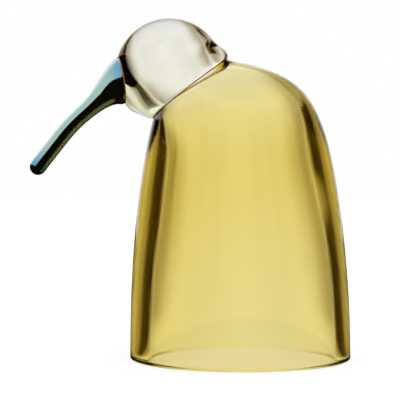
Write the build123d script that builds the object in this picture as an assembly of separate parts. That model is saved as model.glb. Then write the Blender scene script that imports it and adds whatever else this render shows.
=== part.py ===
from build123d import *
from math import cos, exp, pi, radians, sin, sqrt
import os

# A hollow blown-glass bird that stands on its open rim: an amber bell for a body, a clear
# ball for a head, and a dark curved bill.  Threads of red-brown glass mark the two joins.
# Millimetres and degrees.  +Z is up, the bill points towards -X, and the origin is at the
# centre of the ground rim, on the surface that the bird stands on.

# ---- Body -------------------------------------------------------------------------------
BASE_DIAMETER = 129.2       # outside of the ground rim
BODY_HEIGHT = 175.0         # rim to the body's highest point, just behind the neck
RIM_ROUNDING = 1.2          # both edges of the ground rim are softened by this radius
# Outline between rim and neck: (share of the base radius, share of the body height)
BREAST_OUTLINE = [(0.961, 0.40), (0.900, 0.60)]
BACK_OUTLINE = [(0.941, 0.40), (0.866, 0.60), (0.717, 0.805), (0.548, 0.902),
                (0.300, 0.959), (0.07, 0.985)]
BREAST_END = (0.24, 0, 0.97)     # direction of the breast where it meets the neck
BACK_END = (-0.95, 0, 0.30)      # direction of the back where it meets the neck
# Thickness of the glass: (share of the outline's length from the rim, wall)
BREAST_WALL = [(0, 10.6), (0.2, 11.0), (0.4, 11.8), (0.6, 13.2), (0.75, 13.4), (0.88, 12.0)]
BACK_WALL = [(0, 8.6), (0.2, 9.3), (0.4, 11.0), (0.6, 12.0), (0.75, 8.0), (0.88, 5.5)]
SECTIONS = 16               # circular sections between the rim and the neck
SECTION_CROWDING = 1.5      # 1 spaces them evenly, more brings them closer towards the neck
TIP_POWER = 3               # how late, going up, those sections start to tip over

# ---- Neck -------------------------------------------------------------------------------
NECK_DIAMETER = 55.8        # outside, where head and body join
NECK_BORE = 40.4            # the way through from the body into the head
NECK_TILT = 38.0            # the join leans back from level, so the head looks forward
NECK_FORWARD = 29.2         # centre of the join, ahead of the body's axis
NECK_THREAD = 0.6           # thickness of the red-brown ring between head and body

# ---- Head -------------------------------------------------------------------------------
HEAD_DIAMETER = 63.8
HEAD_RISE = 14.5            # centre of the ball above the join
HEAD_LEAN = 3.7             # centre of the ball towards the breast, off the neck's axis
HEAD_CAVITY = 45.6          # diameter of the hollow inside the ball
CROWN_WALL = 1.8            # glass between that hollow and the crown
CAVITY_LEAN = 0.6           # centre of the hollow towards the breast, off the neck's axis

# ---- Bill -------------------------------------------------------------------------------
BILL_TURN = 10.0            # the bill points this far off the body's mid-plane, towards -Y
FOOT_DIAMETER = 27.2        # flared foot, where it lies on the ball
FOOT_DIP = 9.0              # the foot faces this far below level
SHAFT_DIAMETER = 9.6        # bill beyond its flare, and its round tip
FLARE_LENGTH = 12.4         # how quickly the foot narrows and turns down into the shaft
FOOT_FILM = 0.5             # thickness of the red-brown film under the foot
# Middle of the bill beyond the foot: (reach outwards, drop) from the centre of the ball
BILL_LINE = [(44.1, 18.6), (58.5, 31.9), (67.8, 43.3), (77.0, 55.2)]
LINE_DIP = 38.0             # the middle leaves the foot at this angle below level
TIP_DIP = 54.0              # and ends at this one

SIDEWAYS = Vector(0, 1, 0)
DOME = (Align.CENTER, Align.CENTER, Align.MIN)


def circle_on(start, end):
    """A circular section with the line from start to end as its diameter."""
    plane = Plane(origin=(start + end) / 2, x_dir=end - start, z_dir=(end - start).cross(SIDEWAYS))
    return plane * Circle((end - start).length / 2)


# ---- Shared places ----------------------------------------------------------------------
base_radius = BASE_DIAMETER / 2
neck_radius = NECK_DIAMETER / 2
neck_bore_radius = NECK_BORE / 2
tilt = radians(NECK_TILT)
neck_along = Vector(cos(tilt), 0, sin(tilt))
neck_normal = Vector(-sin(tilt), 0, cos(tilt))
neck_centre = Vector(-NECK_FORWARD, 0, BODY_HEIGHT - neck_radius * sin(tilt))
neck_plane = Plane(origin=neck_centre, x_dir=neck_along, z_dir=neck_normal)


# ---- Body bell --------------------------------------------------------------------------
def outer_outline(side, points, neck_end, end_direction):
    """The body's outline in its mid-plane, from the rim up; side is -1 breast, 1 back."""
    inner_points = [(side * x * base_radius, 0, z * BODY_HEIGHT) for x, z in points]
    return Spline((side * base_radius, 0, 0), *inner_points, neck_end,
                  tangents=[(0, 0, 1), end_direction])


def inner_outline(side, outline, walls, bore_end):
    """The same outline moved into the glass by the wall, ending at the neck's bore."""
    points = []
    for share, wall in walls:
        inwards = (outline % share).cross(SIDEWAYS) * side
        points.append(outline @ share + inwards * wall)
    return Spline(*points, bore_end)


def bell(breast, back):
    """A solid bell whose sections are circles, level at the skirt and tipped over at the neck."""
    level_share = breast.length / back.length
    sections = []
    for step in range(SECTIONS + 1):
        share = 1 - (1 - step / SECTIONS) ** SECTION_CROWDING
        back_share = share * (level_share + (1 - level_share) * share ** TIP_POWER)
        sections.append(circle_on(breast @ share, back @ back_share))
    return loft(sections)


breast = outer_outline(-1, BREAST_OUTLINE, neck_centre - neck_along * neck_radius, BREAST_END)
back = outer_outline(1, BACK_OUTLINE, neck_centre + neck_along * neck_radius, BACK_END)
inner_breast = inner_outline(-1, breast, BREAST_WALL, neck_centre - neck_along * neck_bore_radius)
inner_back = inner_outline(1, back, BACK_WALL, neck_centre + neck_along * neck_bore_radius)
body_bell = bell(breast, back) - bell(inner_breast, inner_back)
rim_edges = body_bell.edges().group_by(Axis.Z)[0]
body_bell = fillet(rim_edges, RIM_ROUNDING)

# ---- Neck seam --------------------------------------------------------------------------
neck_seam = neck_plane * extrude(Circle(neck_radius) - Circle(neck_bore_radius), NECK_THREAD)

# ---- Head ball --------------------------------------------------------------------------
head_plane = neck_plane.offset(NECK_THREAD)
head_radius = HEAD_DIAMETER / 2
head_centre = head_plane.from_local_coords(Vector(-HEAD_LEAN, 0, HEAD_RISE))


def round_swell(share):
    """How the outside widens from the join to the ball's middle: a quarter of an ellipse."""
    return sqrt(1 - (1 - share) ** 2)


def easy_swell(share):
    """How the hollow widens: slowly out of the bore, then slowly into the ball."""
    return (1 - cos(pi * share)) / 2


def ball(mouth_radius, radius, rise, lean, swell):
    """A solid ball, centred rise above the join, that is drawn down onto a round mouth there."""
    sections = []
    for share in (0, 0.12, 0.3, 0.5, 0.75, 1):
        width = mouth_radius + (radius - mouth_radius) * swell(share)
        shift = lean * easy_swell(share)
        sections.append(head_plane * Pos(-shift, 0, rise * share) * Circle(width))
    dome = head_plane * Pos(-lean, 0, rise) * Sphere(radius, arc_size1=0, align=DOME)
    return loft(sections) + dome


cavity_radius = HEAD_CAVITY / 2
cavity_rise = HEAD_RISE + head_radius - CROWN_WALL - cavity_radius
cavity = ball(neck_bore_radius, cavity_radius, cavity_rise, CAVITY_LEAN, easy_swell)
head_solid = ball(neck_radius, head_radius, HEAD_RISE, HEAD_LEAN, round_swell)
head_ball = head_solid - cavity

# ---- Bill and its film ------------------------------------------------------------------
foot_radius = FOOT_DIAMETER / 2
shaft_radius = SHAFT_DIAMETER / 2
foot_reach = sqrt(head_radius ** 2 - foot_radius ** 2)
root_depth = head_radius / 6      # the foot starts this far inside the ball, then is cut to it
outwards = Vector(-cos(radians(BILL_TURN)), -sin(radians(BILL_TURN)), 0)


def dipping(angle):
    """The direction out along the bill, this far below level."""
    return outwards * cos(radians(angle)) - Vector(0, 0, sin(radians(angle)))


def bill_plane(centre, dip):
    """A plane across the bill, facing out along it."""
    return Plane(origin=centre, x_dir=dipping(dip - 90), z_dir=dipping(dip))


foot_centre = head_centre + dipping(FOOT_DIP) * foot_reach
line_points = [head_centre + outwards * reach - Vector(0, 0, drop) for reach, drop in BILL_LINE]
bill_line = Spline(foot_centre, *line_points, tangents=[dipping(LINE_DIP), dipping(TIP_DIP)])
root_plane = bill_plane(foot_centre - dipping(FOOT_DIP) * root_depth, FOOT_DIP)
bill_sections = [root_plane * Circle(foot_radius)]
for share in (0, 0.06, 0.12, 0.19, 0.27, 0.38, 0.52, 0.68, 0.84, 1):
    flare = exp(-(share * bill_line.length / FLARE_LENGTH) ** 1.5)
    dip = TIP_DIP + (FOOT_DIP - TIP_DIP) * flare
    radius = shaft_radius + (foot_radius - shaft_radius) * flare
    section_plane = bill_plane(bill_line @ share, dip)
    bill_sections.append(section_plane * Circle(radius))
bill_solid = loft(bill_sections) + section_plane * Sphere(radius, arc_size1=0, align=DOME)

filmed_head = ball(neck_radius + FOOT_FILM, head_radius + FOOT_FILM, HEAD_RISE, HEAD_LEAN,
                   round_swell)
bill = bill_solid - filmed_head
bill_seam = (bill_solid & filmed_head) - head_solid

# ---- One STEP file for each piece ---------------------------------------------------------
PIECES = {
    "body_bell": body_bell,
    "neck_seam": neck_seam,
    "head_ball": head_ball,
    "bill_seam": bill_seam,
    "bill": bill,
}

os.makedirs("parts", exist_ok=True)
for name, piece in PIECES.items():
    export_step(piece, f"parts/{name}.step")
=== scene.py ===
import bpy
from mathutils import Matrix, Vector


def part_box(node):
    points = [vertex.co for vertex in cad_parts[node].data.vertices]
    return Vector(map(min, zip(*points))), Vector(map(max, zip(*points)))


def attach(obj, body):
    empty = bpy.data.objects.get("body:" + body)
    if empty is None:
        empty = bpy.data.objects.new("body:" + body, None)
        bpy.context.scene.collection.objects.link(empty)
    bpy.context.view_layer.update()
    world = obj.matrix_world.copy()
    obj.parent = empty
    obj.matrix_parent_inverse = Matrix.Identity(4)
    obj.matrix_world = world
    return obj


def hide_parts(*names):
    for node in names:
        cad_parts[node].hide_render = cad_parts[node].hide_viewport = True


bl_info = {
    "name": "Blown Glass Bird",
    "version": (1, 0, 0),
    "blender": (4, 5, 0),
    "location": "3D View > Sidebar > Glass Bird",
    "description": "Blows a hollow amber bird around its fixed frame, and sets a studio for it",
    "category": "Add Mesh",
}

import bpy
import numpy as np
from bpy.props import FloatProperty, FloatVectorProperty, IntProperty
from mathutils import Vector

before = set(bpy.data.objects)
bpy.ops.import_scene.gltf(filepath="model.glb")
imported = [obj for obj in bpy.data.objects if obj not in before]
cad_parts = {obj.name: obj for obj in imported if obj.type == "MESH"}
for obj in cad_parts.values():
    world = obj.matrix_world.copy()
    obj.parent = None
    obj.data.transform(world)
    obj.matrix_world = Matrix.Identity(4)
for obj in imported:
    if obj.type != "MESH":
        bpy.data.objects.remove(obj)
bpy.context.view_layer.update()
body_low, body_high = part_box("body_bell")
head_low, head_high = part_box("head_ball")
seam_low, seam_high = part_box("neck_seam")

MM = 0.001
UP = np.array([0.0, 0.0, 1.0])
SIDEWAYS = np.array([0.0, 1.0, 0.0])

# Outlines of the body between rim and neck: (share of the base radius, share of the height)
BREAST_OUTLINE = [(0.961, 0.40), (0.900, 0.60)]
BACK_OUTLINE = [(0.941, 0.40), (0.866, 0.60), (0.717, 0.805), (0.548, 0.902),
                (0.300, 0.959), (0.07, 0.985)]
BREAST_END = (0.24, 0, 0.97)
BACK_END = (-0.95, 0, 0.30)
# Thickness of the glass: (share of the outline's length from the rim, millimetres)
BREAST_WALL = [(0, 10.6), (0.2, 11.0), (0.4, 11.8), (0.6, 13.2), (0.75, 13.4), (0.88, 12.0)]
BACK_WALL = [(0, 8.6), (0.2, 9.3), (0.4, 11.0), (0.6, 12.0), (0.75, 8.0), (0.88, 5.5)]
# How much the body's rings crowd towards the neck, and how late they tip to meet it
SECTION_CROWDING = 1.5
TIP_POWER = 3
# Middle of the bill beyond its foot: (reach, drop) from the centre of the ball, millimetres
BILL_LINE = [(44.1, 18.6), (58.5, 31.9), (67.8, 43.3), (77.0, 55.2)]
FLARE_POWER = 1.5
# Gap between fused pieces, too thin to bend the light that runs on through it
FUSING_GAP = 0.03 * MM
WELD = 0.002 * MM
CREASE = np.radians(35)
# Shares of the ripple's height, outside and inside
BODY_RIPPLE = (0.35, 1.0)
HEAD_RIPPLE = (0.3, 0.4)

# Rings along each stretch
BODY_RINGS = 160
EDGE_RINGS = 7
NECK_RINGS = 28
CROWN_RINGS = 48
CAP_RINGS = 16
SHAFT_RINGS = 110

# Finishes. A pair is where a change starts and where it ends
WHITE = (1, 1, 1, 1)
LUSTRE_MIDDLE = (-0.095, -0.005, 0.142)
LUSTRE_REACH = (26 * MM, 43 * MM)
PULL_RING_SIZE = 12 * MM
PULL_RING_HEIGHT = 0.05 * MM
FILM_EDGE = (0.955, 1.0)
FILM_DARK = (0.004, 0.004, 0.004, 1)

# Cards round the stage: shares are 0 straight ahead or to the side, and 1 at a corner
ONE_WALL_DEPTH = 3.0
DEEP_CORNER = (0.72, 0.98)
FAINT_CORNER = (0.25, 0.86)
FAINT_END = (0.98, 0.92)
FAINT_STRENGTH = 0.6
WARM_GREEN = 1.18
WARM_BLUE = 1.65
# Heights and directions in the surroundings, as parts of a unit vector
CARD_TOPS = (0.16, 0.26)
CEILING_EDGE = (0.50, 0.75)
BACKDROP_EDGE = (0.80, 0.97)
# Distances on the floor from the body's axis, metres
BODY_SIDE = 58 * MM
# Where the painted shade of the cards on the floor sets in, far out and near the body
FAR_SHADE = (0.10, 0.50)
NEAR_SHADE = (66 * MM, 90 * MM)
# Painted shadow of the glass on the floor: where it lies under the rim and inside the bell, and its
# tints
RIM_SHADOW_INSIDE = (56.0 * MM, 57.0 * MM)
RIM_SHADOW_OUTSIDE = (65.2 * MM, 64.2 * MM)
BELL_SHADOW = (65.0 * MM, 56.0 * MM)
BELL_SHADOW_TINT = (0.90, 0.85, 0.66, 1)
RIM_SHADOW_TINT = (0.50, 0.24, 0.05, 1)
FLOOR_SIDES = 96
MOTTLE = (0.35, 0.35, 0.35, 1)
MOTTLE_SIZE = 0.2
# The soft box and what it lights
BILL_MIDDLE = Vector((-0.085, 0.0, 0.14))
SOFTBOX_WAY = Vector((-0.73, 0.0, 0.68))
SOFTBOX_AWAY = 0.5
SOFTBOX_SLIMNESS = 3
GLASS_BOUNCES = 24
MIRROR_BOUNCES = 8


# ---- Settings ---------------------------------------------------------------------------
def length(name, description, metres):
    """A size that a user may change."""
    return FloatProperty(name=name, description=description, default=metres, min=0.0,
                         precision=5, subtype="DISTANCE", unit="LENGTH")


def angle(name, description, degrees):
    """An angle that a user may change."""
    return FloatProperty(name=name, description=description, default=np.radians(degrees),
                         subtype="ANGLE", unit="ROTATION")


def colour(name, description, value):
    """A colour that a user may change."""
    return FloatVectorProperty(name=name, description=description, default=value, size=3,
                               min=0.0, max=1.0, subtype="COLOR")


def amount(name, description, value, most=1000.0):
    """A plain number that a user may change."""
    return FloatProperty(name=name, description=description, default=value, min=0.0, max=most)


class BirdShape(bpy.types.PropertyGroup):
    """Sizes of the blown pieces; the first ones are read from the frame."""

    base_diameter: length("Base Diameter", "Outside of the ground rim", body_high.x - body_low.x)
    body_height: length("Body Height", "Rim to the top of the back", body_high.z)
    rim_rounding: length("Rim Rounding", "Radius on both edges of the rim", 1.2 * MM)
    neck_diameter: length("Neck Diameter", "Where head and body join", seam_high.y - seam_low.y)
    neck_bore: length("Neck Bore", "Way through from body to head", 40.4 * MM)
    neck_forward: length("Neck Forward", "Join ahead of the body's axis", 29.2 * MM)
    neck_thread: length("Neck Thread", "Thickness of the ring at the join", 0.6 * MM)
    neck_tilt: angle("Neck Tilt", "How far the join leans back from level", 38.0)
    head_diameter: length("Head Diameter", "Outside of the ball", head_high.y - head_low.y)
    head_rise: length("Head Rise", "Ball's centre above the join", 14.5 * MM)
    head_lean: length("Head Lean", "Ball's centre towards the breast", 3.7 * MM)
    head_cavity: length("Head Cavity", "Diameter of the hollow in the ball", 45.6 * MM)
    crown_wall: length("Crown Wall", "Glass over the hollow", 1.8 * MM)
    cavity_lean: length("Cavity Lean", "Hollow's centre towards the breast", 0.6 * MM)
    bill_turn: angle("Bill Turn", "Bill off the body's mid-plane", 10.0)
    foot_dip: angle("Foot Dip", "How far below level the foot faces", 9.0)
    line_dip: angle("Line Dip", "How far below level the bill leaves", 38.0)
    tip_dip: angle("Tip Dip", "How far below level the tip points", 54.0)
    foot_diameter: length("Foot Diameter", "Flared foot of the bill", 27.2 * MM)
    foot_film: length("Foot Film", "Thickness of the film under the foot", 0.5 * MM)
    shaft_diameter: length("Shaft Diameter", "Bill beyond its flare", 9.6 * MM)
    flare_length: length("Flare Length", "How quickly the foot narrows", 12.4 * MM)
    ripple: length("Ripple", "Height of the waves that blowing leaves", 0.10 * MM)
    ripple_size: length("Ripple Size", "Width of those waves", 45.0 * MM)
    segments: IntProperty(name="Segments", description="Faces around a ring", default=280, min=16)


class BirdGlass(bpy.types.PropertyGroup):
    """Colours and densities of the glass."""

    amber: colour("Amber", "Tint of the body", (0.925, 0.835, 0.19))
    amber_density: amount("Amber Density", "Strength of the body's tint", 75.0)
    smoke: colour("Smoke", "Tint of the head", (0.78, 0.80, 0.42))
    smoke_density: amount("Smoke Density", "Strength of the head's tint", 16.0)
    thread: colour("Thread", "Tint of the ring at the neck", (0.93, 0.55, 0.05))
    thread_density: amount("Thread Density", "Strength of the ring's tint", 300.0)
    film: colour("Film", "Edge of the film under the bill", (0.45, 0.16, 0.03))
    lustre: colour("Lustre", "Sheen at the middle of the bill", (0.12, 0.18, 0.16))
    deep_lustre: colour("Deep Lustre", "Sheen towards its ends", (0.025, 0.105, 0.165))
    refraction: amount("Refractive Index", "How strongly the glass bends light", 1.5, 3.0)


class BirdStudio(bpy.types.PropertyGroup):
    """Light and camera."""

    backdrop: amount("Backdrop", "Brightness of the white surroundings", 0.95)
    ceiling: amount("Ceiling", "Brightness overhead", 1.3)
    card: amount("Cards", "Brightness of the dark cards at the corners", 0.03)
    above_cards: amount("Above Cards", "Brightness over the tops of the cards", 0.5)
    softbox: amount("Softbox", "Power of the soft box that lights the bill", 8.0)
    softbox_length: length("Softbox Length", "Long side of that soft box", 1.6)
    behind: amount("Behind", "Brightness in front of the object, as its surface mirrors it", 0.008)
    floor_colour: colour("Floor", "Colour of the floor", (0.36, 0.36, 0.355))
    floor_glow: amount("Floor Glow", "Light from below the floor, as on a light table", 0.70)
    floor_radius: length("Floor Radius", "Size of the floor", 6.0)
    camera_left: length("Camera Left", "Camera towards the bill from the axis", 23.6 * MM)
    camera_distance: length("Camera Distance", "Camera in front of the axis", 820.0 * MM)
    camera_height: length("Camera Height", "Camera above the floor", 105.0 * MM)
    aim_height: length("Aim Height", "Point that the camera looks at", 92.8 * MM)
    lens: amount("Lens", "Focal length in millimetres", 125.5)


# ---- Node building ----------------------------------------------------------------------
def node(tree, kind, values=None, **settings):
    """A new node with its settings, and its inputs by name or number, set or linked."""
    made = tree.nodes.new(kind)
    for key, setting in settings.items():
        setattr(made, key, setting)
    for key, value in (values or {}).items():
        if isinstance(value, bpy.types.NodeSocket):
            tree.links.new(value, made.inputs[key])
        else:
            made.inputs[key].default_value = value
    return made


def math(tree, operation, first, second=0.0):
    """The result of one operation on numbers or sockets."""
    kind = "ShaderNodeMath"
    return node(tree, kind, {0: first, 1: second}, operation=operation).outputs[0]


def vector_math(tree, operation, first, second):
    """The result of one operation on vectors."""
    return node(tree, "ShaderNodeVectorMath", {0: first, 1: second}, operation=operation).outputs[0]


def scaled(tree, vector, factor):
    """A vector times a number."""
    return node(tree, "ShaderNodeVectorMath", {0: vector, "Scale": factor},
                operation="SCALE").outputs[0]


def step(tree, value, start, end):
    """A smooth step from 0 at start to 1 at end."""
    return node(tree, "ShaderNodeMapRange", {"Value": value, "From Min": start, "From Max": end},
                interpolation_type="SMOOTHSTEP").outputs["Result"]


def blended(tree, factor, first, second):
    """A number that goes from first to second as the factor goes from 0 to 1."""
    return node(tree, "ShaderNodeMix", {"Factor": factor, 2: first, 3: second}).outputs[0]


def mixed(tree, factor, first, second, blend="MIX"):
    """A colour that goes from first to second as the factor goes from 0 to 1."""
    return node(tree, "ShaderNodeMix", {"Factor": factor, 6: first, 7: second},
                data_type="RGBA", blend_type=blend).outputs[2]


def distance(tree, point=(0.0, 0.0, 0.0)):
    """How far each place on the piece is from this point."""
    place = node(tree, "ShaderNodeTexCoord").outputs["Object"]
    return node(tree, "ShaderNodeVectorMath", {0: place, 1: Vector(point)},
                operation="DISTANCE").outputs["Value"]


def ring_tree():
    """Geometry nodes that skin a stack of rings: each guide point carries one ring."""
    tree = bpy.data.node_groups.new("Skin Rings", "GeometryNodeTree")
    tree.is_modifier = True
    face = tree.interface
    face.new_socket("Geometry", in_out="OUTPUT", socket_type="NodeSocketGeometry")
    face.new_socket("Geometry", in_out="INPUT", socket_type="NodeSocketGeometry")
    for name, kind in (("Segments", "Int"), ("Ripple", "Float"), ("Ripple Size", "Float"),
                       ("Seed", "Float"), ("Crease", "Float"), ("Glass", "Material"),
                       ("Fused Glass", "Material")):
        face.new_socket(name, in_out="INPUT", socket_type="NodeSocket" + kind)
    given = node(tree, "NodeGroupInput").outputs
    guide = given["Geometry"]
    rings = node(tree, "GeometryNodeAttributeDomainSize", {0: guide}).outputs["Point Count"]
    around = math(tree, "ADD", given["Segments"], 1)
    grid = node(tree, "GeometryNodeMeshGrid", {"Vertices X": rings, "Vertices Y": around})
    index = node(tree, "GeometryNodeInputIndex").outputs[0]

    def of_ring(name, kind, per_row):
        """What the guide point of this place's ring says, with so many places to a ring."""
        value = node(tree, "GeometryNodeInputNamedAttribute", {"Name": name}, data_type=kind)
        row = math(tree, "FLOOR", math(tree, "DIVIDE", math(tree, "ADD", index, 0.5), per_row))
        return node(tree, "GeometryNodeSampleIndex",
                    {"Geometry": guide, "Value": value.outputs[0], "Index": row},
                    data_type=kind, domain="POINT").outputs[0]

    turn = math(tree, "DIVIDE", math(tree, "MODULO", index, around), given["Segments"])
    turn = math(tree, "MULTIPLY", turn, 2 * np.pi)
    across = scaled(tree, of_ring("across", "FLOAT_VECTOR", around), math(tree, "COSINE", turn))
    sideways = scaled(tree, of_ring("sideways", "FLOAT_VECTOR", around), math(tree, "SINE", turn))
    spoke = vector_math(tree, "ADD", across, sideways)
    place = vector_math(tree, "ADD", of_ring("centre", "FLOAT_VECTOR", around), spoke)
    waves = node(tree, "ShaderNodeTexNoise",
                 {"Vector": place, "W": given["Seed"], "Detail": 1.0,
                  "Scale": math(tree, "DIVIDE", 1.0, given["Ripple Size"])},
                 noise_dimensions="4D").outputs[0]
    swell = math(tree, "MULTIPLY", math(tree, "SUBTRACT", waves, 0.5), given["Ripple"])
    swell = math(tree, "MULTIPLY", swell, of_ring("ripple", "FLOAT", around))
    outwards = node(tree, "ShaderNodeVectorMath", {0: spoke}, operation="NORMALIZE").outputs[0]
    place = vector_math(tree, "ADD", place, scaled(tree, outwards, swell))
    skin = node(tree, "GeometryNodeSetPosition", {"Geometry": grid.outputs[0], "Position": place})
    marked = node(tree, "GeometryNodeStoreNamedAttribute",
                  {"Geometry": skin.outputs[0], "Name": "fused",
                   "Value": of_ring("fused", "FLOAT", given["Segments"])},
                  data_type="FLOAT", domain="FACE")
    closed = node(tree, "GeometryNodeMergeByDistance",
                  {"Geometry": marked.outputs[0], "Distance": WELD})
    bend = node(tree, "GeometryNodeInputMeshEdgeAngle").outputs["Unsigned Angle"]
    flat = math(tree, "LESS_THAN", bend, given["Crease"])
    soft = node(tree, "GeometryNodeSetShadeSmooth", {0: closed.outputs[0], 2: flat}, domain="EDGE")
    real = node(tree, "GeometryNodeRealizeInstances", {0: soft.outputs[0]})
    glazed = node(tree, "GeometryNodeSetMaterial", {0: real.outputs[0], "Material": given["Glass"]})
    fused = node(tree, "GeometryNodeInputNamedAttribute", {"Name": "fused"}, data_type="FLOAT")
    fused = math(tree, "GREATER_THAN", fused.outputs[0], 0.5)
    joined = node(tree, "GeometryNodeSetMaterial",
                  {0: glazed.outputs[0], "Selection": fused, "Material": given["Fused Glass"]})
    node(tree, "NodeGroupOutput", {0: joined.outputs[0]})
    return tree


# ---- Lines and rings --------------------------------------------------------------------
class Line:
    """A smooth line through points, with its ends free or along given directions."""

    SAMPLES = 4000

    def __init__(self, points, start=None, end=None):
        points = np.array(points, float)
        gaps = np.linalg.norm(np.diff(points, axis=0), axis=1)
        knots = np.concatenate([[0.0], np.cumsum(gaps)])
        slopes = self.slopes(points, gaps, start, end)
        spots = np.linspace(0.0, knots[-1], self.SAMPLES)
        span = np.clip(np.searchsorted(knots, spots) - 1, 0, len(gaps) - 1)
        gap = gaps[span][:, None]
        share = (spots[:, None] - knots[span][:, None]) / gap
        back = 1 - share
        self.path = (back ** 2 * (1 + 2 * share) * points[span]
                     + share ** 2 * (3 - 2 * share) * points[span + 1]
                     + share * back * gap * (back * slopes[span] - share * slopes[span + 1]))
        steps = np.linalg.norm(np.diff(self.path, axis=0), axis=1)
        self.run = np.concatenate([[0.0], np.cumsum(steps)])
        self.length = self.run[-1]

    @staticmethod
    def slopes(points, gaps, start, end):
        """The direction at each point that keeps the line's bend continuous."""
        count = len(points)
        matrix = np.zeros((count, count))
        right = np.zeros((count, 3))
        for i in range(1, count - 1):
            before, after = gaps[i - 1], gaps[i]
            matrix[i, i - 1:i + 2] = 1 / before, 2 / before + 2 / after, 1 / after
            right[i] = 3 * ((points[i] - points[i - 1]) / before ** 2
                            + (points[i + 1] - points[i]) / after ** 2)
        for i, beside, direction in ((0, 1, start), (count - 1, count - 2, end)):
            matrix[i, i] = 1
            if direction is not None:
                right[i] = np.array(direction) / np.linalg.norm(direction)
            else:
                matrix[i, beside] = 0.5
                edge = points[1] - points[0] if i == 0 else points[-1] - points[-2]
                right[i] = 1.5 * edge / np.linalg.norm(edge)
        return np.linalg.solve(matrix, right)

    def at(self, share):
        """The place at this share of the length."""
        along = share * self.length
        return np.array([np.interp(along, self.run, self.path[:, axis]) for axis in range(3)])

    def direction(self, share):
        """The direction there."""
        step_size = 0.002
        ahead = self.at(min(share + step_size, 1.0)) - self.at(max(share - step_size, 0.0))
        return ahead / np.linalg.norm(ahead)


def ring(centre, across, facing, ripple=1.0, fused=0.0):
    """A circle: its centre, the vector to one of its points, and the way that it faces."""
    facing = np.array(facing) / np.linalg.norm(facing)
    return centre, across, np.cross(across, facing), ripple, fused


def fusing(made):
    """The same ring, with the faces that follow it fused to the neighbouring piece."""
    return (*made[:4], 1.0)


def skin(name, rings, shape, finish, fused_finish, seed):
    """A piece made by skinning the rings, in their order, with the geometry nodes."""
    guide_mesh = bpy.data.meshes.new(name + "_guide")
    guide_mesh.from_pydata([tuple(r[0]) for r in rings], [], [])
    for slot, (label, kind) in enumerate((("centre", "FLOAT_VECTOR"), ("across", "FLOAT_VECTOR"),
                                          ("sideways", "FLOAT_VECTOR"), ("ripple", "FLOAT"),
                                          ("fused", "FLOAT"))):
        attribute = guide_mesh.attributes.new(label, kind, "POINT")
        values = np.array([r[slot] for r in rings], np.float32).ravel()
        attribute.data.foreach_set("vector" if kind == "FLOAT_VECTOR" else "value", values)
    guide = bpy.data.objects.new(name + "_guide", guide_mesh)
    bpy.context.scene.collection.objects.link(guide)
    tree = bpy.data.node_groups.get("Skin Rings") or ring_tree()
    modifier = guide.modifiers.new("Skin Rings", "NODES")
    modifier.node_group = tree
    values = {"Segments": shape.segments, "Ripple": shape.ripple, "Crease": CREASE,
              "Ripple Size": shape.ripple_size, "Seed": float(seed), "Glass": finish,
              "Fused Glass": fused_finish}
    for socket in tree.interface.items_tree:
        if socket.in_out == "INPUT" and socket.name in values:
            modifier[socket.identifier] = values[socket.name]
    depsgraph = bpy.context.evaluated_depsgraph_get()
    depsgraph.update()
    mesh = bpy.data.meshes.new_from_object(guide.evaluated_get(depsgraph))
    mesh.name = name
    guide.modifiers.remove(modifier)
    bpy.data.objects.remove(guide)
    if not mesh.polygons:
        raise RuntimeError(f"{name} came out empty")
    piece = bpy.data.objects.new(name, mesh)
    bpy.context.scene.collection.objects.link(piece)
    return piece


def spread(count, start=0.0, end=1.0):
    """Even shares from start to end, both included."""
    return np.linspace(start, end, count)


# ---- Shared places ----------------------------------------------------------------------
def neck_place(shape):
    """Centre of the join, its direction up the slope, and the way that it faces."""
    along = np.array([np.cos(shape.neck_tilt), 0, np.sin(shape.neck_tilt)])
    facing = np.array([-np.sin(shape.neck_tilt), 0, np.cos(shape.neck_tilt)])
    height = shape.body_height - shape.neck_diameter / 2 * np.sin(shape.neck_tilt)
    return np.array([-shape.neck_forward, 0, height]), along, facing


def head_place(shape):
    """Centre of the ball."""
    centre, along, facing = neck_place(shape)
    return centre - along * shape.head_lean + facing * (shape.head_rise + shape.neck_thread)


# ---- Body -------------------------------------------------------------------------------
def outer_lines(shape):
    """The body's outlines in its mid-plane, breast and back, from the rim up."""
    centre, along, _ = neck_place(shape)
    base, height, neck = shape.base_diameter / 2, shape.body_height, shape.neck_diameter / 2
    lines = []
    for side, outline, end in ((-1, BREAST_OUTLINE, BREAST_END), (1, BACK_OUTLINE, BACK_END)):
        points = [(side * x * base, 0, z * height) for x, z in outline]
        lines.append(Line([(side * base, 0, 0), *points, centre + side * along * neck], UP, end))
    return lines


def inner_lines(shape, outer):
    """The same outlines moved into the glass by the wall, ending at the neck's bore."""
    centre, along, _ = neck_place(shape)
    lines = []
    for side, line, walls in zip((-1, 1), outer, (BREAST_WALL, BACK_WALL)):
        points = []
        for share, wall in walls:
            inwards = np.cross(line.direction(share), SIDEWAYS) * side
            points.append(line.at(share) + inwards * wall * MM)
        lines.append(Line([*points, centre + side * along * shape.neck_bore / 2]))
    return lines


def bell_rings(shape, lines, ripple):
    """Rings whose diameters join the two outlines, level at the rim and tipped at the neck."""
    breast, back = lines
    level = breast.length / back.length
    rings = []
    first = 1 - (1 - shape.rim_rounding / breast.length) ** (1 / SECTION_CROWDING)
    for part in spread(BODY_RINGS, first, 1.0):
        share = 1 - (1 - part) ** SECTION_CROWDING
        back_share = share * (level + (1 - level) * share ** TIP_POWER)
        start, end = breast.at(share), back.at(back_share)
        across = (start - end) / 2
        rings.append(ring((start + end) / 2, across, np.cross(SIDEWAYS, across), ripple))
    return rings


def rim_rings(shape, radius, side, shift=0.0):
    """A quarter round on one edge of the ground rim, outside for side 1, inside for -1."""
    rings = []
    for turn in spread(EDGE_RINGS, 0, np.pi / 2)[1:]:
        out = radius - side * shape.rim_rounding * (1 - np.cos(turn))
        height = shape.rim_rounding * (1 - np.sin(turn))
        middle = UP * height + np.array([shift, 0, 0])
        rings.append(ring(middle, np.array([-out, 0, 0]), UP, 0.0))
    return rings


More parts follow.
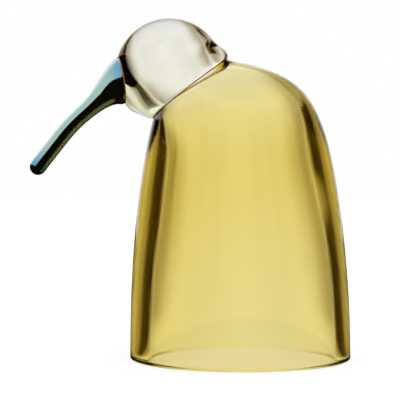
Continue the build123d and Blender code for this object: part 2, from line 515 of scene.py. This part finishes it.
def body_rings(shape):
    """All rings of the bell: up its outside, through the neck, and down its inside."""
    outer = outer_lines(shape)
    inner = inner_lines(shape, outer)
    outside = bell_rings(shape, outer, BODY_RIPPLE[0])
    inside = bell_rings(shape, inner, BODY_RIPPLE[1])
    outside_rim = rim_rings(shape, shape.base_diameter / 2, 1)
    breast, back = BREAST_WALL[0][1] * MM, BACK_WALL[0][1] * MM
    bore = (shape.base_diameter - breast - back) / 2
    inside_rim = rim_rings(shape, bore, -1, (breast - back) / 2)
    outside[-1] = fusing(outside[-1])
    rings = [*outside_rim[::-1], *outside, *inside[::-1], *inside_rim]
    return [*rings, rings[0]]


# ---- Neck thread ------------------------------------------------------------------------
def thread_rings(shape):
    """A flat washer between body and head, with a faintly rounded outside."""
    centre, along, facing = neck_place(shape)
    outer, bore = shape.neck_diameter / 2, shape.neck_bore / 2
    low, high = FUSING_GAP, shape.neck_thread - FUSING_GAP
    bulge = shape.neck_thread / 5
    rings = []
    for part in spread(EDGE_RINGS):
        out = outer + bulge * np.sin(np.pi * part)
        rings.append(ring(centre + facing * (low + (high - low) * part), -along * out, facing, 0.0))
    rings[-1] = fusing(rings[-1])
    rings.append(ring(centre + facing * high, -along * bore, facing, 0.0))
    rings.append(ring(centre + facing * low, -along * bore, facing, 0.0, 1.0))
    return [*rings, rings[0]]


# ---- Head -------------------------------------------------------------------------------
def ball_rings(shape, mouth, radius, rise, lean, wide, ripple):
    """Rings of a ball above the join, from its mouth there up to its crown."""
    centre, along, facing = neck_place(shape)
    centre = centre + facing * shape.neck_thread
    rings = []
    for part in spread(NECK_RINGS)[:-1]:
        share, width = wide(part)
        ease = (1 - np.cos(np.pi * share)) / 2
        middle = centre + facing * rise * share - along * lean * ease
        rings.append(ring(middle, -along * (mouth + (radius - mouth) * width), facing, ripple))
    for turn in spread(CROWN_RINGS, 0, np.pi / 2):
        middle = centre + facing * (rise + radius * np.sin(turn)) - along * lean
        across = -along * max(radius * np.cos(turn), 0.0)
        rings.append(ring(middle, across, facing, ripple * np.cos(turn)))
    return rings


def round_swell(part):
    """Height and width shares of a quarter of an ellipse."""
    turn = part * np.pi / 2
    return 1 - np.cos(turn), np.sin(turn)


def easy_swell(part):
    """Height and width shares that widen slowly, then quickly, then slowly."""
    return part, (1 - np.cos(np.pi * part)) / 2


def head_rings(shape):
    """All rings of the ball: down its hollow, through the neck, and up its outside."""
    radius, cavity = shape.head_diameter / 2, shape.head_cavity / 2
    cavity_rise = shape.head_rise + radius - shape.crown_wall - cavity
    inside = ball_rings(shape, shape.neck_bore / 2, cavity, cavity_rise, shape.cavity_lean,
                        easy_swell, HEAD_RIPPLE[1])
    outside = ball_rings(shape, shape.neck_diameter / 2, radius, shape.head_rise,
                         shape.head_lean, round_swell, HEAD_RIPPLE[0])
    inside[0] = fusing(inside[0])
    return [*inside[::-1], *outside]


# ---- Bill and its film ------------------------------------------------------------------
def dipping(shape, below):
    """The direction out along the bill, this far below level."""
    turn = shape.bill_turn
    outwards = np.array([-np.cos(turn), -np.sin(turn), 0])
    return outwards * np.cos(below) - UP * np.sin(below)


def cap_rings(shape, radius):
    """Rings of a cap on a sphere about the ball's centre, from its middle to the foot's edge."""
    facing = dipping(shape, shape.foot_dip)
    across = dipping(shape, shape.foot_dip - np.pi / 2)
    edge = np.arcsin(shape.foot_diameter / 2 / radius)
    middle = head_place(shape)
    return [ring(middle + facing * radius * np.cos(edge * part),
                 across * radius * np.sin(edge * part), facing, 0.0)
            for part in spread(CAP_RINGS)]


def bill_rings(shape):
    """All rings of the bill: its hollowed foot, the flare, the shaft and the round tip."""
    middle = head_place(shape)
    foot, shaft = shape.foot_diameter / 2, shape.shaft_diameter / 2
    outwards = dipping(shape, 0.0)
    reach = np.sqrt((shape.head_diameter / 2) ** 2 - foot ** 2)
    foot_centre = middle + dipping(shape, shape.foot_dip) * reach
    points = [middle + outwards * out * MM - UP * drop * MM for out, drop in BILL_LINE]
    line = Line([foot_centre, *points], dipping(shape, shape.line_dip),
                dipping(shape, shape.tip_dip))
    rings = cap_rings(shape, shape.head_diameter / 2 + shape.foot_film)
    start = shape.foot_film / line.length
    for share in spread(SHAFT_RINGS, start, 1.0):
        flare = np.exp(-(share * line.length / shape.flare_length) ** FLARE_POWER)
        below = shape.tip_dip + (shape.foot_dip - shape.tip_dip) * flare
        across = dipping(shape, below - np.pi / 2) * (shaft + (foot - shaft) * flare)
        rings.append(ring(line.at(share), across, dipping(shape, below), 1.0))
    tip, facing = line.at(1.0), dipping(shape, shape.tip_dip)
    for turn in spread(CAP_RINGS, 0, np.pi / 2)[1:]:
        across = dipping(shape, shape.tip_dip - np.pi / 2) * shaft * max(np.cos(turn), 0.0)
        rings.append(ring(tip + facing * shaft * np.sin(turn), across, facing, np.cos(turn)))
    return rings


def film_rings(shape):
    """The film between ball and bill, fused a little way into the ball."""
    radius = shape.head_diameter / 2
    inside = cap_rings(shape, radius - shape.foot_film / 2)
    outside = cap_rings(shape, radius + shape.foot_film * 0.95)
    return [*inside, *outside[::-1]]


# ---- Materials --------------------------------------------------------------------------
def new_material(name):
    """An empty node material and its output node."""
    material = bpy.data.materials.new(name)
    material.use_nodes = True
    material.node_tree.nodes.clear()
    return material, material.node_tree, node(material.node_tree, "ShaderNodeOutputMaterial")


def object_noise(tree, size, detail=2.0, stretch=(1, 1, 1)):
    """Noise fixed to the piece, with features of this size in metres."""
    place = node(tree, "ShaderNodeTexCoord").outputs["Object"]
    place = node(tree, "ShaderNodeMapping", {"Vector": place, "Scale": stretch}).outputs[0]
    return node(tree, "ShaderNodeTexNoise", {"Vector": place, "Scale": 1 / size,
                                             "Detail": detail}).outputs[0]


def tinted(name, kind, values, tint, density):
    """A material with this kind of surface, tinting light by the depth of glass it crosses."""
    material, tree, output = new_material(name)
    surface = node(tree, kind, values)
    depth = node(tree, "ShaderNodeVolumeAbsorption", {"Color": (*tint, 1), "Density": density})
    tree.links.new(surface.outputs[0], output.inputs["Surface"])
    tree.links.new(depth.outputs[0], output.inputs["Volume"])
    return material


def glass(name, tint, density, refraction):
    """Clear glass with a smooth surface."""
    surface = {"Base Color": WHITE, "Roughness": 0.0, "IOR": refraction,
               "Transmission Weight": 1.0}
    return tinted(name, "ShaderNodeBsdfPrincipled", surface, tint, density)


def joined_glass(name, tint, density):
    """The same glass where it runs on into its neighbour, without a surface."""
    return tinted(name, "ShaderNodeBsdfTransparent", {}, tint, density)


def bill_material(settings):
    """Near-black glass with a metallic blue-green sheen, faintly ringed by pulling."""
    material, tree, output = new_material("bill_lustre")
    ripples = object_noise(tree, PULL_RING_SIZE, 3.0, (1, 1, 2.2))
    bump = node(tree, "ShaderNodeBump", {"Height": ripples, "Distance": PULL_RING_HEIGHT,
                                         "Strength": 1.0})
    ends = step(tree, distance(tree, LUSTRE_MIDDLE), *LUSTRE_REACH)
    sheen = mixed(tree, ends, (*settings.lustre, 1), (*settings.deep_lustre, 1))
    surface = node(tree, "ShaderNodeBsdfPrincipled", {
        "Base Color": sheen, "Metallic": 1.0, "Roughness": 0.08,
        "Normal": bump.outputs[0]})
    tree.links.new(surface.outputs[0], output.inputs["Surface"])
    return material


def film_material(settings, shape):
    """Red-brown at the edge of the foot, and dark where the bill backs it."""
    material, tree, output = new_material("bill_film")
    middle = head_place(shape) + dipping(shape, shape.foot_dip) * shape.head_diameter / 2
    edge = shape.foot_diameter / 2
    warm = step(tree, distance(tree, middle), *(edge * share for share in FILM_EDGE))
    surface = node(tree, "ShaderNodeBsdfPrincipled", {
        "Base Color": mixed(tree, warm, FILM_DARK, (*settings.film, 1)),
        "Roughness": 0.3, "Specular IOR Level": 0.0})
    tree.links.new(surface.outputs[0], output.inputs["Surface"])
    return material


# ---- Stage ------------------------------------------------------------------------------
def one_wall(tree, path):
    """1 for light that crossed a single wall of glass, 0 for light that crossed more."""
    return math(tree, "LESS_THAN", path["Transmission Depth"], ONE_WALL_DEPTH)


def corner_shade(tree, x, y, path):
    """How dark the corner cards look this way: deep from inside one wall, faint across two."""
    flat = math(tree, "ADD", math(tree, "MULTIPLY", x, x), math(tree, "MULTIPLY", y, y))
    product = math(tree, "ABSOLUTE", math(tree, "MULTIPLY", x, y))
    share = math(tree, "DIVIDE", math(tree, "MULTIPLY", product, 2.0), flat)
    deep = math(tree, "MULTIPLY", step(tree, share, *DEEP_CORNER), one_wall(tree, path))
    faint = math(tree, "MULTIPLY", step(tree, share, *FAINT_CORNER),
                 step(tree, share, *FAINT_END))
    return math(tree, "MAXIMUM", deep, math(tree, "MULTIPLY", faint, FAINT_STRENGTH))


def warmed(tree, light):
    """The colour of this much light, browner where it is dim, as on wooden cards."""
    return node(tree, "ShaderNodeCombineColor", {
        "Red": light, "Green": math(tree, "POWER", light, WARM_GREEN),
        "Blue": math(tree, "POWER", light, WARM_BLUE)}).outputs[0]


def mirror_ray(tree, path):
    """1 for light mirrored by a smooth surface, 0 for light seen through it or by paint."""
    return math(tree, "MULTIPLY", path["Is Reflection Ray"], path["Is Glossy Ray"])


def studio_world(studio):
    """White surroundings with dark corners; smooth surfaces mirror only the backdrop."""
    world = bpy.data.worlds.new("Studio")
    bpy.context.scene.world = world
    world.use_nodes = True
    tree = world.node_tree
    tree.nodes.clear()
    way = node(tree, "ShaderNodeTexCoord").outputs["Generated"]
    x, y, z = node(tree, "ShaderNodeSeparateXYZ", {0: way}).outputs
    path = node(tree, "ShaderNodeLightPath").outputs
    shade = corner_shade(tree, x, y, path)
    cards = blended(tree, step(tree, z, *CARD_TOPS), studio.card, studio.above_cards)
    light = blended(tree, shade, studio.backdrop, cards)
    light = blended(tree, step(tree, z, *CEILING_EDGE), light, studio.ceiling)
    mirrored = blended(tree, step(tree, y, *BACKDROP_EDGE), studio.behind, studio.backdrop)
    light = blended(tree, mirror_ray(tree, path), light, mirrored)
    light = blended(tree, path["Is Camera Ray"], light, 1.0)
    emission = node(tree, "ShaderNodeBackground", {"Color": warmed(tree, light)})
    node(tree, "ShaderNodeOutputWorld", {"Surface": emission.outputs[0]})


def floor_shade(tree, path):
    """Painted shade on the floor where it lies under the cards, as the glass sees it, and all over
    where smooth surfaces mirror it; the camera does not see it.
    """
    place = node(tree, "ShaderNodeTexCoord").outputs["Object"]
    x, y, _ = node(tree, "ShaderNodeSeparateXYZ", {0: place}).outputs
    away = distance(tree)
    beside = math(tree, "SUBTRACT", math(tree, "ABSOLUTE", x), BODY_SIDE)
    beside = math(tree, "MAXIMUM", beside, 0.0)
    reached = math(tree, "MAXIMUM", step(tree, away, *FAR_SHADE), one_wall(tree, path))
    reached = math(tree, "MULTIPLY", reached, step(tree, away, *NEAR_SHADE))
    shade = math(tree, "MULTIPLY", reached, corner_shade(tree, beside, y, path))
    # smooth surfaces mirror the floor painted dark
    return math(tree, "MAXIMUM", shade, mirror_ray(tree, path))


def painted_glass_shadow(tree, light):
    """Paints the glass's shadow into the floor's light: a pale amber tint inside the bell, and a
    darker brown one under its rim.
    """
    away = distance(tree)
    inside = mixed(tree, step(tree, away, *BELL_SHADOW), WHITE, BELL_SHADOW_TINT)
    # painted contact shadow, a brown ring under the rim
    rim_shadow = math(tree, "MULTIPLY", step(tree, away, *RIM_SHADOW_INSIDE),
                     step(tree, away, *RIM_SHADOW_OUTSIDE))
    tint = mixed(tree, rim_shadow, inside, RIM_SHADOW_TINT)
    return mixed(tree, 1.0, warmed(tree, light), tint, "MULTIPLY")


def stage_floor(studio):
    """A wide round floor of pale, faintly mottled paint; to the glass it glows instead, with
    painted shade and a painted shadow on it.
    """
    rim = [(studio.floor_radius * np.cos(turn), studio.floor_radius * np.sin(turn), 0)
           for turn in spread(FLOOR_SIDES + 1, 0, 2 * np.pi)[:-1]]
    mesh = bpy.data.meshes.new("floor")
    mesh.from_pydata(rim, [], [range(len(rim))])
    floor = bpy.data.objects.new("floor", mesh)
    bpy.context.scene.collection.objects.link(floor)
    material, tree, output = new_material("floor_paint")
    paint = mixed(tree, object_noise(tree, MOTTLE_SIZE), (*studio.floor_colour, 1), MOTTLE)
    path = node(tree, "ShaderNodeLightPath").outputs
    pale = node(tree, "ShaderNodeBsdfPrincipled", {
        "Base Color": paint, "Roughness": 0.9, "Specular IOR Level": 0.0,
        "Emission Color": WHITE, "Emission Strength": studio.floor_glow})
    # The glass sees the floor glowing as bright as the backdrop, with painted shade of the cards
    # and the glass's painted shadow on it
    floor_light_with_painted_shade = blended(tree, floor_shade(tree, path), studio.backdrop, studio.card)
    glow = node(tree, "ShaderNodeEmission", {"Color": painted_glass_shadow(tree, floor_light_with_painted_shade)})
    surface = node(tree, "ShaderNodeMixShader", {0: path["Is Camera Ray"], 1: glow.outputs[0],
                                                 2: pale.outputs[0]})
    tree.links.new(surface.outputs[0], output.inputs["Surface"])
    mesh.materials.append(material)


def bill_light(studio):
    """A soft box high on the bill's side, which lights the bill alone."""
    light = bpy.data.lights.new("bill_light", "AREA")
    light.shape, light.energy = "RECTANGLE", studio.softbox
    light.size = studio.softbox_length
    light.size_y = studio.softbox_length / SOFTBOX_SLIMNESS
    lamp = bpy.data.objects.new("bill_light", light)
    bpy.context.scene.collection.objects.link(lamp)
    lamp.location = BILL_MIDDLE + SOFTBOX_WAY.normalized() * SOFTBOX_AWAY
    lamp.rotation_euler = (BILL_MIDDLE - lamp.location).to_track_quat("-Z", "Y").to_euler()
    lit = bpy.data.collections.new("lit_by_softbox")
    lit.objects.link(bpy.data.objects["dark_bill"])
    lamp.light_linking.receiver_collection = lit
    lamp.visible_camera = lamp.visible_transmission = False


def stage_camera(studio):
    """The camera, a little above the object's middle and aimed slightly down."""
    camera = bpy.data.objects.new("camera", bpy.data.cameras.new("camera"))
    bpy.context.scene.collection.objects.link(camera)
    place = Vector((-studio.camera_left, -studio.camera_distance, studio.camera_height))
    aim = Vector((-studio.camera_left, 0, studio.aim_height))
    camera.location = place
    camera.rotation_euler = (aim - place).to_track_quat("-Z", "Y").to_euler()
    camera.data.lens = studio.lens
    camera.data.clip_start = 0.01
    bpy.context.scene.camera = camera


# ---- Operators --------------------------------------------------------------------------
class BIRD_OT_body(bpy.types.Operator):
    """Blow the amber body"""

    bl_idname = "bird.body"
    bl_label = "Body"

    def execute(self, context):
        shape, tints = context.scene.bird_shape, context.scene.bird_glass
        amber = glass("amber_glass", tints.amber, tints.amber_density, tints.refraction)
        joined = joined_glass("amber_fused", tints.amber, tints.amber_density)
        piece = skin("amber_body", body_rings(shape), shape, amber, joined, 1)
        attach(piece, "root")
        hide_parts("body_bell")
        return {"FINISHED"}


class BIRD_OT_neck(bpy.types.Operator):
    """Lay the red-brown thread around the neck"""

    bl_idname = "bird.neck"
    bl_label = "Neck Thread"

    def execute(self, context):
        shape, tints = context.scene.bird_shape, context.scene.bird_glass
        brown = glass("thread_glass", tints.thread, tints.thread_density, tints.refraction)
        joined = joined_glass("thread_fused", tints.thread, tints.thread_density)
        piece = skin("neck_thread", thread_rings(shape), shape, brown, joined, 2)
        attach(piece, "root")
        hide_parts("neck_seam")
        return {"FINISHED"}


class BIRD_OT_head(bpy.types.Operator):
    """Blow the clear head"""

    bl_idname = "bird.head"
    bl_label = "Head"

    def execute(self, context):
        shape, tints = context.scene.bird_shape, context.scene.bird_glass
        clear = glass("clear_glass", tints.smoke, tints.smoke_density, tints.refraction)
        joined = joined_glass("clear_fused", tints.smoke, tints.smoke_density)
        piece = skin("clear_head", head_rings(shape), shape, clear, joined, 3)
        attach(piece, "root")
        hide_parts("head_ball")
        return {"FINISHED"}


class BIRD_OT_bill(bpy.types.Operator):
    """Pull the dark bill and the film that holds it"""

    bl_idname = "bird.bill"
    bl_label = "Bill and Film"

    def execute(self, context):
        shape, tints = context.scene.bird_shape, context.scene.bird_glass
        lustre = bill_material(tints)
        piece = skin("dark_bill", bill_rings(shape), shape, lustre, lustre, 4)
        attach(piece, "root")
        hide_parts("bill")
        brown = film_material(tints, shape)
        film = skin("foot_film", film_rings(shape), shape, brown, brown, 5)
        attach(film, "root")
        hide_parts("bill_seam")
        return {"FINISHED"}


class BIRD_OT_studio(bpy.types.Operator):
    """Set the light, the floor and the camera"""

    bl_idname = "bird.studio"
    bl_label = "Studio"

    def execute(self, context):
        studio = context.scene.bird_studio
        studio_world(studio)
        stage_floor(studio)
        bill_light(studio)
        stage_camera(studio)
        scene = context.scene
        scene.view_settings.view_transform = "Standard"
        scene.cycles.use_denoising = True
        scene.cycles.max_bounces = GLASS_BOUNCES
        scene.cycles.transmission_bounces = GLASS_BOUNCES
        scene.cycles.transparent_max_bounces = GLASS_BOUNCES
        scene.cycles.glossy_bounces = MIRROR_BOUNCES
        return {"FINISHED"}


class BIRD_PT_panel(bpy.types.Panel):
    """Sidebar panel with the pieces and their settings"""

    bl_idname = "BIRD_PT_panel"
    bl_label = "Glass Bird"
    bl_space_type = "VIEW_3D"
    bl_region_type = "UI"
    bl_category = "Glass Bird"

    def draw(self, context):
        for operator in OPERATORS:
            self.layout.operator(operator.bl_idname)
        for name in SETTINGS:
            box = self.layout.box()
            group = getattr(context.scene, name)
            for key in group.__annotations__:
                box.prop(group, key)


SETTINGS = {"bird_shape": BirdShape, "bird_glass": BirdGlass, "bird_studio": BirdStudio}
OPERATORS = (BIRD_OT_body, BIRD_OT_neck, BIRD_OT_head, BIRD_OT_bill, BIRD_OT_studio)


def register():
    """Makes the settings, operators and panel known to Blender."""
    for group in SETTINGS.values():
        bpy.utils.register_class(group)
    for name, group in SETTINGS.items():
        setattr(bpy.types.Scene, name, bpy.props.PointerProperty(type=group))
    for kind in (*OPERATORS, BIRD_PT_panel):
        bpy.utils.register_class(kind)


def unregister():
    """Takes them away again."""
    for kind in (BIRD_PT_panel, *reversed(OPERATORS)):
        bpy.utils.unregister_class(kind)
    for name, group in SETTINGS.items():
        delattr(bpy.types.Scene, name)
        bpy.utils.unregister_class(group)


def main():
    """Builds every piece and the stage."""
    register()
    bpy.ops.bird.body()
    bpy.ops.bird.neck()
    bpy.ops.bird.head()
    bpy.ops.bird.bill()
    bpy.ops.bird.studio()


if __name__ == "__main__":
    main()
